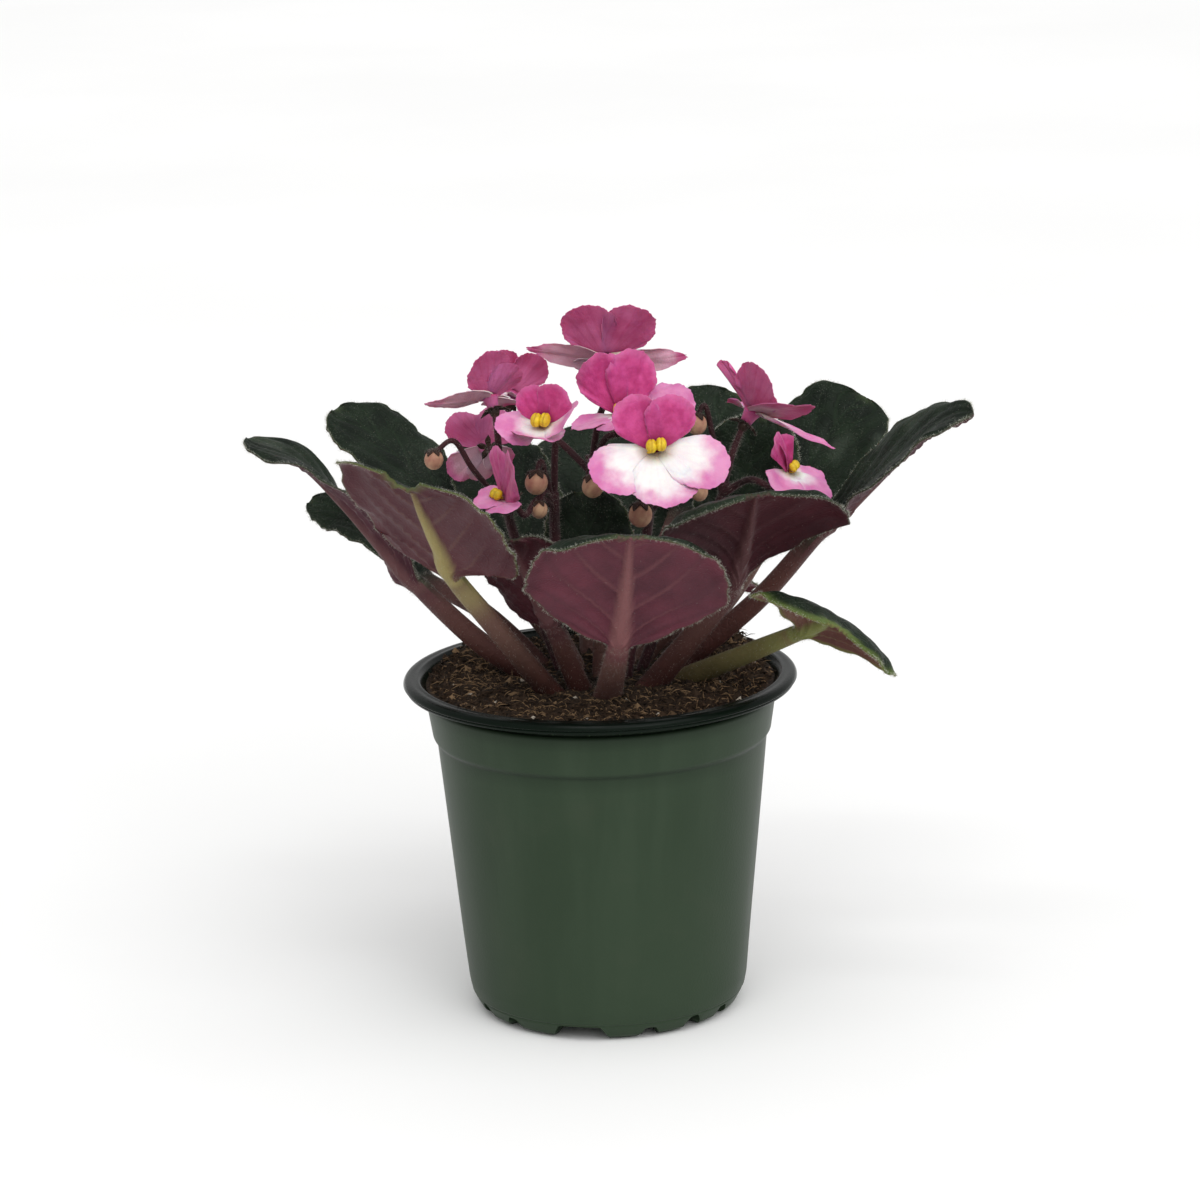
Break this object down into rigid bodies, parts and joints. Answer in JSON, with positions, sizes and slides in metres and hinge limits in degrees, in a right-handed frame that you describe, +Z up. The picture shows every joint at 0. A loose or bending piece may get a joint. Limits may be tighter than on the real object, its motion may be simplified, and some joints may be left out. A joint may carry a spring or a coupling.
{
  "type": "potted african violet",
  "caption": "Small flowering african violet in a round plastic nursery pot: fleshy leaves purple underneath, pink and white blooms on dark stems.",
  "frame": {"origin": "on the floor, at the middle of the pot's foot", "axes": "+Z up along the pot's axis; -Y towards the side with the two-coloured open bloom and the front leaf; +X to the right seen from there"},
  "size_m": [0.1971, 0.1389, 0.1947],
  "materials": {
    "pot_plastic": "thin moulded nursery pot, satin green outside, black and a little glossy over the rim and inside",
    "peat": null,
    "leaf": "fleshy and downy, dark green above with a lighter edge, dusty purple underneath, reddish and pale green stalks",
    "flower_stem": "dark maroon, thin white hairs, peach buds",
    "petal": "soft matte pink, white lower lobes with pink edges, duller on the back",
    "anther": "matte bright yellow"
  },
  "bodies": {
    "root": {"pot": "pot_plastic", "soil": "peat", "leaf_front": "leaf", "leaf_left_front": "leaf", "leaf_right_front": "leaf", "leaf_left": "leaf", "leaf_left_low": "leaf", "leaf_left_back": "leaf", "leaf_left_inner": "leaf", "leaf_right": "leaf", "leaf_right_low": "leaf", "leaf_right_back": "leaf", "leaf_right_inner": "leaf", "leaf_back_right": "leaf", "leaf_back": "leaf", "leaf_back_left": "leaf", "leaf_back_low": "leaf", "leaf_centre": "leaf", "spray_centre": "flower_stem", "spray_left": "flower_stem", "spray_back": "flower_stem", "spray_front": "flower_stem", "spray_right": "flower_stem", "bloom_main": "petal", "bloom_main_anthers": "anther", "bloom_behind_main": "petal", "bloom_behind_main_anthers": "anther", "bloom_top": "petal", "bloom_top_anthers": "anther", "bloom_left_front": "petal", "bloom_left_front_anthers": "anther", "bloom_left_top": "petal", "bloom_left_top_anthers": "anther", "bloom_left_back": "petal", "bloom_left_back_anthers": "anther", "bloom_left_low": "petal", "bloom_left_low_anthers": "anther", "bloom_left_turned": "petal", "bloom_left_turned_anthers": "anther", "bloom_right": "petal", "bloom_right_anthers": "anther", "bloom_right_low": "petal", "bloom_right_low_anthers": "anther"}
  },
  "joints": []
}
